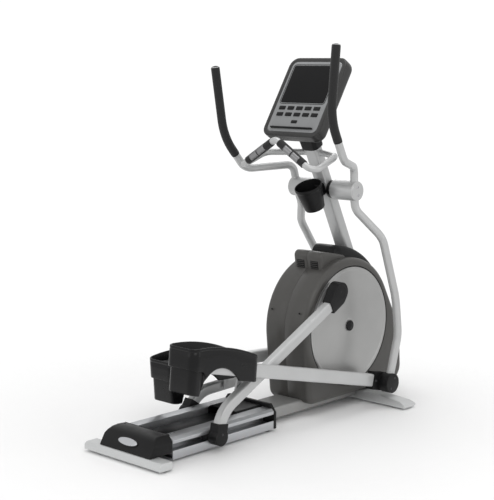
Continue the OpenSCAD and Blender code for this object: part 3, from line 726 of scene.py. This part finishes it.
def console():
    back = [(0.0125, 0.004), (0.0125, 0.0006), (0.0145, 0.0), (0.040, 0.0), (0.047, 0.0012),
            (0.054, 0.0050), (0.061, 0.0120), (0.0665, 0.0215), (0.0692, 0.0320), (0.070, 0.0440)]
    add_piece("console_casing", plate_mesh("back", back, CONSOLE_SIZE, CONSOLE), "base", "shroud_grey",
              CHARCOAL, node="console_back")
    rim = [(0.012, 0.004), (0.012, 0.0), (0.0055, 0.0), (0.0025, 0.0008), (0.0006, 0.0030), (0.0, 0.0065),
           (0.0, 0.0200), (0.0016, 0.0225), (0.0034, 0.0235)]
    add_piece("console_rim", plate_mesh("rim", rim, CONSOLE_SIZE, CONSOLE), "base", "shroud_grey", CHARCOAL,
              node="console_bezel")
    face = [(0.0033, 0.0), (0.0012, 0.0), (0.0002, 0.0012), (-0.0004, 0.004)]
    panel = CONSOLE @ Matrix.Translation((0.0004, 0, 0))
    add_piece("console_face", plate_mesh("face", face, FACE_SIZE, panel), "base", "bezel_grey")
    screen = CONSOLE @ Matrix.Translation((0, 0, GLASS_UP))
    glass = [(0.002, 0.0), (-0.0008, 0.0), (-0.0014, 0.0012), (-0.0016, 0.004)]
    add_piece("display_glass", plate_mesh("glass", glass, GLASS_SIZE, screen), "base", "gloss_black",
              node="display_panel")
    trim = [(0.001, 0.0), (-0.0010, 0.0), (-0.0018, 0.0010), (-0.0010, 0.0022), (0.001, 0.0022)]
    mesh = plate_mesh("trim", trim, TRIM_SIZE, screen, capped=False)
    add_piece("display_trim", mesh, "base", "black_cover")
    for row, z in enumerate(KEY_ROWS):
        for k in range(KEYS_IN_ROW):
            y = KEY_PITCH * (k - (KEYS_IN_ROW - 1) / 2)
            place = CONSOLE @ Matrix.Translation((-0.001, y, z))
            key = block_mesh("key", (0.0050, 0.036, 0.018), 0.0022, place)
            add_piece("console_key_%d_%d" % (row + 1, k + 1), key, "base", "black_cover")
    place = CONSOLE @ Matrix.Translation((0.003, 0, START_DOWN))
    key = block_mesh("start", (0.0112, 0.0338, 0.0158), 0.0030, place)
    add_piece("start_key_cap", key, "start_button", "black_cover", node="start_key")
    place = CONSOLE @ Matrix.Translation((-0.0045, 0, LEDGE_DOWN))
    ledge = block_mesh("ledge", (0.012, 0.240, 0.007), 0.003, place)
    add_piece("reading_ledge", ledge, "base", "black_cover")


NECK_CORNER = 0.018


def console_neck():
    """The tapered cover between the mast's top and the console's back."""
    low = Matrix.Translation((MAST_PATH[2].x, 0, MAST_PATH[2].y)) @ Matrix.Rotation(-MAST_LEAN, 4, "Y")
    loops = []
    for z, deep, wide in [(-0.052, 0.062, 0.086), (-0.048, 0.066, 0.090), (-0.012, 0.066, 0.090)]:
        outline = rounded_profile(deep, wide, NECK_CORNER)
        loops.append([low @ Vector((a, b, z)) for a, b in outline])
    for depth, down, deep, wide in [(0.092, -0.120, 0.070, 0.098), (0.0660, -0.105, 0.080, 0.104)]:
        outline = rounded_profile(deep, wide, NECK_CORNER)
        loops.append([CONSOLE @ Vector((depth, b, down + a * 0.9)) for a, b in outline])
    mesh = mesh_from("neck", *loft(loops))
    piece = add_piece("console_neck", mesh, "base", "black_cover", keep_angle=60)
    smooth = piece.modifiers.new("smooth", "SUBSURF")
    smooth.levels = smooth.render_levels = 1


BAR_ROOT = at(1.163, 1.165)
BAR_ELBOW = Vector((1.065 - MID, 0.205, 1.163))
BAR_TURN = Vector((0.905 - MID, 0.214, 1.104))
BAR_PEAK = Vector((0.905 - MID, 0, 1.236))


def flipped(p):
    return Vector((p.x, -p.y, p.z))


BAR_BENDS = [0.025, 0.060, 0.038, 0.030, 0.038, 0.060, 0.025]
SLEEVE_R = BAR_R + 0.0035
SLEEVE_ENDS = (0.058, 0.026)    # from the turn, and from the peak
PLATE_SPANS = [(0.030, 0.075), (0.080, 0.125)]
PLATE_ARC = math.radians(58)    # half of a pulse plate's wrap
PLATE_ROWS = 8
PLATE_COLUMNS = 12


def pulse_plate(centre, across, high, span):
    """A thin steel sheet wrapped round the sleeve; centre gives its middle line."""
    points = []
    for i in range(PLATE_ROWS + 1):
        middle = centre(span[0] + (span[1] - span[0]) * i / PLATE_ROWS)
        for k in range(PLATE_COLUMNS + 1):
            a = PLATE_ARC * (2 * k / PLATE_COLUMNS - 1)
            points.append(middle - (SLEEVE_R + 0.0004) * (across * math.sin(a) + high * math.cos(a)))
    wide = PLATE_COLUMNS + 1
    corners = [i * wide + k for i in range(PLATE_ROWS) for k in range(PLATE_COLUMNS)]
    return points, [(a, a + 1, a + wide + 1, a + wide) for a in corners]


def fixed_handlebar():
    root = [Vector((BAR_ROOT.x, y, BAR_ROOT.y)) for y in (0.034, MAST_WIDE / 2 + 0.016)]
    near = root + [BAR_ELBOW, BAR_TURN]
    path = near + [BAR_PEAK] + [flipped(p) for p in reversed(near)]
    mesh = swept_mesh("bar", path, BAR_BENDS, round_profile(BAR_R), up=(0, 0, 1))
    add_piece("fixed_bar", mesh, "base", "tube_silver", node="static_handlebar")
    rise = (BAR_PEAK - BAR_TURN).normalized()
    across = Vector((1, 0, 0)).cross(rise).normalized()
    high = rise.cross(across)
    start, end = BAR_TURN + rise * SLEEVE_ENDS[0], BAR_PEAK - rise * SLEEVE_ENDS[1]
    length = (end - start).length
    half_profile = [(0, BAR_R + 0.0005), (0, SLEEVE_R - 0.0013), (0.002, SLEEVE_R - 0.0002),
                    (0.006, SLEEVE_R)]
    profile = half_profile + [(length - t, r) for t, r in reversed(half_profile)]
    for side in SIDES:
        rows = [[start + rise * t + across * a + high * b for a, b in round_profile(r)] for t, r in profile]
        mesh = mesh_from("sleeve", *loft(rows, capped=False, wrap=True), side.plain)
        node = "pulse_grips" if side is SIDES[0] else None
        add_piece(side.side + "_pulse_sleeve", mesh, "base", "grip_foam", node=node)
        for index, span in enumerate(PLATE_SPANS):
            sheet = pulse_plate(lambda t: start + rise * t, across, high, span)
            mesh = mesh_from("contact", *sheet, side.plain)
            piece = add_piece("%s_pulse_plate_%d" % (side.side, index + 1), mesh, "base", "bright_steel",
                              CONTACT)
            thick = piece.modifiers.new("thick", "SOLIDIFY")
            thick.thickness = 0.0009
            thick.offset = 0


CUP_RIM = at(1.120, 1.020)


def cup_holder():
    matrix = Matrix.Translation((CUP_RIM.x, 0, CUP_RIM.y)) @ Matrix.Rotation(-MAST_LEAN, 4, "Y")
    profile = [(0.0001, -0.118), (0.040, -0.118), (0.0445, -0.1165), (0.0462, -0.112), (0.0600, -0.022),
               (0.0606, -0.016), (0.0622, -0.014), (0.0628, -0.010), (0.0630, -0.003), (0.0622, -0.0006),
               (0.0610, 0.0), (0.0596, -0.0008), (0.0590, -0.004), (0.0435, -0.108), (0.0415, -0.1125),
               (0.038, -0.114), (0.0001, -0.114)]
    add_piece("cup_bowl", lathe_mesh("cup", profile, matrix, 96), "base", "black_cover", node="cup_holder")
    arm = block_mesh("arm", (0.072, 0.044, 0.054), 0.006, matrix @ Matrix.Translation((0.086, 0, -0.057)))
    add_piece("cup_bracket", arm, "base", "black_cover")


# ---------- one side of the linkage ----------


SWING_PATH = [(-0.004, HUB_Y, -0.020), (-0.004, HUB_Y, -0.084), (0.050, SWING_Y, -0.222),
              (0.106, SWING_Y, -0.520), (0.100, SWING_Y, -0.694), (0, SWING_Y, -0.895)]
SWING_BENDS = [0.070, 0.110, 0.420, 0.160]


def swing_arm(side):
    body = side.side + "_swing"
    m = side.swing
    path = [Vector(p) for p in SWING_PATH]
    path[-1] += (path[-2] - path[-1]).normalized() * 0.030
    mesh = swept_mesh("swing", path, SWING_BENDS, round_profile(TUBE_R), m)
    add_piece(side.side + "_swing_tube", mesh, body, "tube_silver", node=side.side + "_swing_arm")
    hub = [(0.0302, 0.0585), (HUB_R - 0.0015, 0.0585), (HUB_R, 0.060), (HUB_R, HUB_OUT - 0.006),
           (HUB_R - 0.0012, HUB_OUT - 0.0035), (0.0400, HUB_OUT - 0.002), (0.0392, HUB_OUT - 0.0014),
           (0.0380, HUB_OUT), (0.0001, HUB_OUT)]
    add_piece(side.side + "_hub_shell", lathe_mesh("hub", hub, along_y((0, 0), m)), body, "tube_silver")
    seal = [(0.024, 0.0375), (0.039, 0.0375), (0.0402, 0.039), (0.0402, 0.0575), (0.039, 0.0582),
            (0.024, 0.0582)]
    mesh = lathe_mesh("seal", seal, along_y(HUB, side.plain))
    add_piece(side.side + "_hub_seal", mesh, "base", "black_cover")
    for k, z in enumerate((0.018, -0.018)):
        place = m @ Vector((0, HUB_OUT, z))
        screw("%s_hub_screw_%d" % (side.side, k + 1), place, side.outward, 0.0065, body)


HANDLE_TURN = Vector((-0.178, GRIP_Y, 0.181))
GRIP_BEND = Vector((-0.237, GRIP_Y, 0.376))
GRIP_TOP = Vector((-0.156, GRIP_Y, 0.676))
GRIP_BELOW = 0.106              # foam below the grip's bend
GRIP_BEND_RADIUS = 0.260


def handlebar(side):
    body = side.side + "_swing"
    path = [Vector((0.005, HUB_Y, 0.030)), Vector((0.015, HUB_Y, 0.106)), HANDLE_TURN, GRIP_BEND, GRIP_TOP]
    bends = [0.040, 0.070, GRIP_BEND_RADIUS]
    mesh = swept_mesh("handle", path, bends, round_profile(HANDLE_R), side.swing)
    add_piece(side.side + "_handle_tube", mesh, body, "tube_silver", node=side.side + "_handlebar")
    low = (GRIP_BEND - HANDLE_TURN).normalized()
    top = (GRIP_TOP - GRIP_BEND).normalized()
    start = GRIP_BEND - low * GRIP_BELOW
    mesh = swept_mesh("grip", [start, GRIP_BEND, GRIP_TOP + top * 0.0035], [GRIP_BEND_RADIUS],
                      round_profile(GRIP_R), side.swing, crown=0.011)
    add_piece(side.side + "_grip_foam", mesh, body, "grip_foam", node=side.side + "_grip")
    ends = [start - low * 0.006, start + low * 0.002]
    collar = swept_mesh("collar", ends, [], round_profile(GRIP_R - 0.0006), side.swing)
    add_piece(side.side + "_grip_collar", collar, body, "black_cover")


def black_screw(name, side, point, body, matrix):
    """A dark screw facing outward on a black cover."""
    screw(side.side + name, matrix @ Vector(point), side.outward, 0.0055, body, "wheel_plastic")


def link_arm(side):
    body = side.side + "_link"
    path = [(0.010, LINK_Y, 0.011), (0.068, LINK_Y, 0.071), (0.850, LINK_Y, -0.0179)]
    mesh = swept_mesh("link", path, [0.14], rounded_profile(0.046, 0.040, 0.009), side.link)
    add_piece(side.side + "_link_tube", mesh, body, "tube_silver", node=side.side + "_link_arm")
    refined(side.side + "_pin_housing", body, 0.0045, 4)
    refined(side.side + "_roller_boot", body, 0.0040, 4)
    pin = (LINK_LENGTH - 0.004, 0.004)
    place = side.link @ Vector((pin[0], LINK_COVER_OUT - 0.002, pin[1]))
    screw(side.side + "_pin_cover_screw", place, side.outward, 0.0058, body, "wheel_plastic")
    black_screw("_boot_screw", side, (0.010, LINK_COVER_OUT, 0.008), body, side.link)
    ring = [(0.0330, LINK_COVER_OUT - 0.0004), (0.0330, LINK_COVER_OUT + 0.0002),
            (0.0322, LINK_COVER_OUT + 0.0005), (0.0305, LINK_COVER_OUT + 0.0005),
            (0.0298, LINK_COVER_OUT + 0.0002), (0.0298, LINK_COVER_OUT - 0.0004)]
    mesh = lathe_mesh("ring", ring, along_y(pin, side.link), 64)
    add_piece(side.side + "_pin_cover_ring", mesh, body, "black_cover")


def pedal_arm(side):
    body = side.side + "_pedal"
    swing = side.side + "_swing"
    path = [(-1.190, ARM_Y, 0), (-0.076, ARM_Y, 0)]
    mesh = swept_mesh("arm", path, [], rounded_profile(0.058, 0.036, 0.008), side.pedal)
    add_piece(side.side + "_arm_tube", mesh, body, "tube_silver", node=side.side + "_pedal_arm")
    place = side.pedal @ Matrix.Translation((-0.876, 0.1445, -0.040))
    lug = block_mesh("lug", (0.026, 0.011, 0.118), 0.003, place)
    add_piece(side.side + "_arm_lug", lug, body, "tube_silver")
    place = side.pedal @ Matrix.Translation((-0.934, 0.170, 0.019))
    cross = block_mesh("cross", (0.132, 0.062, 0.018), 0.003, place)
    add_piece(side.side + "_arm_crossbar", cross, body, "tube_silver")
    refined(side.side + "_arm_knuckle", body, 0.0045, 4)
    refined(side.side + "_front_housing", swing, 0.0060, 4)
    refined(side.side + "_front_pin", side.side + "_front_axle", 0.001)
    black_screw("_knuckle_screw", side, (-0.062, 0.239, 0.0), body, side.pedal)
    for k, a in enumerate((60, 240)):
        p = side.front + 0.026 * Vector((math.cos(math.radians(a)), math.sin(math.radians(a))))
        black_screw("_front_screw_%d" % (k + 1), side, (p.x, FRONT_COVER_OUT, p.y), swing, side.plain)


PEDAL_LOW_Y, PEDAL_HIGH_Y = 0.084, 0.244
PEDAL_REAR_X, PEDAL_FRONT_X = -1.259, -0.868
PEDAL_CORNER = 0.034
PEDAL_FLOOR = 0.0365
PEDAL_LEAN = 0.125
PEDAL_BLOCK_X = -1.196          # front of the rear block
PEDAL_STEP = -0.022             # where the upper shell overlaps the lower block
RIBS = 9
RIB_PITCH = 0.013


def pedal_top(x):
    return -0.749 + math.sqrt(0.833 ** 2 - (x + 1.062) ** 2)


def pedal_bottom(x):
    d = x + 1.083
    if abs(d) < 0.0935 or (d < 0 and abs(d) < 0.1178):
        return -0.118 + math.sqrt(max(0.118 ** 2 - d * d, 0))
    return -0.120 if d < 0 else -0.046


def rear_share(x):
    """One round the rear block, falling to nothing where the arch begins."""
    t = min(1, max(0, (-1.170 - x) / 0.030))
    return t * t * (3 - 2 * t)


CORNER_STEPS = 10
SIDE_STEPS = 56


def plan_loop(inset):
    """The pedal's plan outline, corner radius and all, symmetric about its centre line."""
    x0, x1 = PEDAL_REAR_X + inset, PEDAL_FRONT_X - inset
    y0, y1 = PEDAL_LOW_Y + inset, PEDAL_HIGH_Y - inset
    r = PEDAL_CORNER - inset * 0.8
    mid = (y0 + y1) / 2
    half = (y1 - y0) / 2
    out = [(x1, mid + half * 0.2), (x1, mid + half * 0.5)]
    for k in range(CORNER_STEPS + 1):
        a = math.pi / 2 * k / CORNER_STEPS
        out.append((x1 - r + r * math.cos(a), y1 - r + r * math.sin(a)))
    for k in range(1, SIDE_STEPS):
        out.append((x1 - r + (x0 - x1 + 2 * r) * k / SIDE_STEPS, y1))
    for k in range(CORNER_STEPS + 1):
        a = math.pi / 2 * (1 + k / CORNER_STEPS)
        out.append((x0 + r + r * math.cos(a), y1 - r + r * math.sin(a)))
    out += [(x0, mid + half * 0.5), (x0, mid + half * 0.2)]
    return out + [(x, 2 * mid - y) for x, y in reversed(out)]


def pedal(side):
    body = side.side + "_pedal"

    def ring(inset, height, rear_inset=0.0):
        """The plan outline at a height, drawn in by inset, and more round the rear block."""
        loop = []
        for a, b in zip(plan_loop(inset), plan_loop(inset + rear_inset)):
            share = rear_share(a[0])
            x, y = a[0] + (b[0] - a[0]) * share, a[1] + (b[1] - a[1]) * share
            z = height(x)
            loop.append(Vector((x - PEDAL_LEAN * (z - 0.03), y, z)))
        return loop

    def step(x, lift):
        share = rear_share(x)
        return share * PEDAL_STEP + (1 - share) * (pedal_bottom(x) + 0.008) + lift

    def hollow(height):
        """The open space under the floor, ahead of the rear block."""
        loop = []
        for x, y in plan_loop(0.0068):
            x = max(x, PEDAL_BLOCK_X)
            z = height(x)
            loop.append(Vector((x - PEDAL_LEAN * (z - 0.03), y, z)))
        return loop

    block = 0.009
    loops = [hollow(lambda x: 0.029), hollow(lambda x: pedal_bottom(x) + 0.0004),
             ring(0.005, pedal_bottom, block), ring(0.0015, lambda x: pedal_bottom(x) + 0.0012, block),
             ring(0.0, lambda x: pedal_bottom(x) + 0.005, block)]
    for lift, rear_inset in [(-0.0025, block), (0.0, block), (0.0, 0.0022), (0.0008, 0.0006),
                             (0.0026, 0.0)]:
        loops.append(ring(0.0, lambda x, lift=lift: step(x, lift), rear_inset))
    for t in (0.33, 0.66):
        loops.append(ring(0.0, lambda x, t=t: step(x, 0.0026) * (1 - t) + (pedal_top(x) - 0.015) * t))
    for inset, drop in [(0.0, 0.0150), (0.0012, 0.0138), (0.0012, 0.0120), (0.0, 0.0108), (0.0, 0.0030),
                        (0.0010, 0.0008), (0.0032, 0.0), (0.0058, 0.0008), (0.0068, 0.0030)]:
        loops.append(ring(inset, lambda x, drop=drop: pedal_top(x) - drop))

    def level(inset, above):
        return ring(inset, lambda x: PEDAL_FLOOR + above)

    loops += [level(0.0072, 0.006), level(0.0085, 0.001), level(0.0120, 0)]
    mesh = mesh_from("pedal", *loft(loops), side.pedal)
    add_piece(side.side + "_pedal_cup", mesh, body, "pedal_black", node=side.side + "_pedal_shell",
              keep_angle=50)
    pad = [level(0.0135, 0.0), level(0.0135, 0.0045), level(0.0150, 0.0060), level(0.0180, 0.0062)]
    add_piece(side.side + "_pad", mesh_from("pad", *loft(pad), side.pedal), body, "foot_rubber",
              node=side.side + "_foot_pad")
    for k in range(RIBS):
        place = side.pedal @ Matrix.Translation((-1.060, 0.112 + RIB_PITCH * k, PEDAL_FLOOR + 0.0066))
        rib = block_mesh("rib", (0.300, 0.006, 0.0024), 0.001, place)
        add_piece("%s_pad_rib_%d" % (side.side, k + 1), rib, body, "foot_rubber")


# ---------- base ----------


BADGE_HALF = (0.060, 0.0205)
BADGE_POINTS = 64


def oval_loops(rows):
    """Ovals in the badge's plane at (grow, depth)."""
    w, h = BADGE_HALF
    angles = [(k + 0.5) * math.tau / BADGE_POINTS for k in range(BADGE_POINTS)]
    return [[Vector((x, (w + grow) * math.cos(a), (h + grow) * math.sin(a))) for a in angles]
            for grow, x in rows]


def badge():
    """A plain oval badge on the end cap's rear slope."""
    low, high = at(0.016, 0.0403), at(0.052, 0.100)
    rise = (high - low).normalized()
    centre = low.lerp(high, 0.62) + Vector((-rise.y, rise.x)) * 0.0006
    lean = math.atan2(rise.x, rise.y)
    face = Matrix.Translation((centre.x, 0, centre.y)) @ Matrix.Rotation(lean, 4, "Y")
    rim = oval_loops([(0.0, 0.002), (0.0, -0.0012), (-0.001, -0.0022), (-0.003, -0.0028),
                      (-0.0045, -0.0020)])
    add_piece("badge_rim", mesh_from("rim", *loft(rim), face), "base", "black_cover")
    field = oval_loops([(-0.0050, -0.0018), (-0.0055, -0.0026), (-0.009, -0.0031), (-0.016, -0.0034)])
    add_piece("badge_field", mesh_from("field", *loft(field), face), "base", "foot_silver", EMBLEM)


def end_cap():
    refined("rear_end_cap", "base", 0.006, 5)
    for name, y in (("right", -0.112), ("left", 0.112)):
        screw("end_cap_screw_" + name, (0.120 - MID, y, 0.1140), (0, 0, 1), 0.005, "base", "wheel_plastic")


BASE_PARTS = [("rear_foot", 0.0035, 4), ("front_foot", 0.0040, 4), ("left_rail", 0.0012, 3),
              ("right_rail", 0.0012, 3), ("rail_cover", 0.0015, 3), ("rail_bracket", 0.0025, 3),
              ("main_frame", 0.0020, 3), ("foot_pads", 0.0015, 3)]
PLAIN_PARTS = [("hub_axle", 0.001), ("crank_bearings", 0.0008), ("drive_belt", 0.0006),
               ("brake_unit", 0.0012)]


def base_frame():
    for name, width, segments in BASE_PARTS:
        refined(name, "base", width, segments)
    for name, width in PLAIN_PARTS:
        refined(name, "base", width)
    refined("transport_wheels", "wheels", 0.0040, 4)


def inner_parts():
    refined("crank_axle", "crank", 0.001)
    refined("drive_pulley", "crank", 0.0015)
    refined("flywheel", "flywheel", 0.0015)
    for side in SIDES:
        name = side.side
        refined(name + "_roller_axle", name + "_carriage", 0.001)
        refined(name + "_roller", name + "_roller_wheel", 0.003, 4)
        refined(name + "_hub_bush", name + "_hub", 0.0008)


make_camera()
make_studio()
make_floor()
base_frame()
inner_parts()
end_cap()
badge()
mast_tube()
mast_collar()
console()
console_neck()
fixed_handlebar()
cup_holder()
for half in SIDES:
    shroud_shell(half)
    nose_shell(half)
    louvres(half)
    crank_disc(half)
    shroud_screws(half)
    swing_arm(half)
    handlebar(half)
    link_arm(half)
    pedal_arm(half)
    pedal(half)
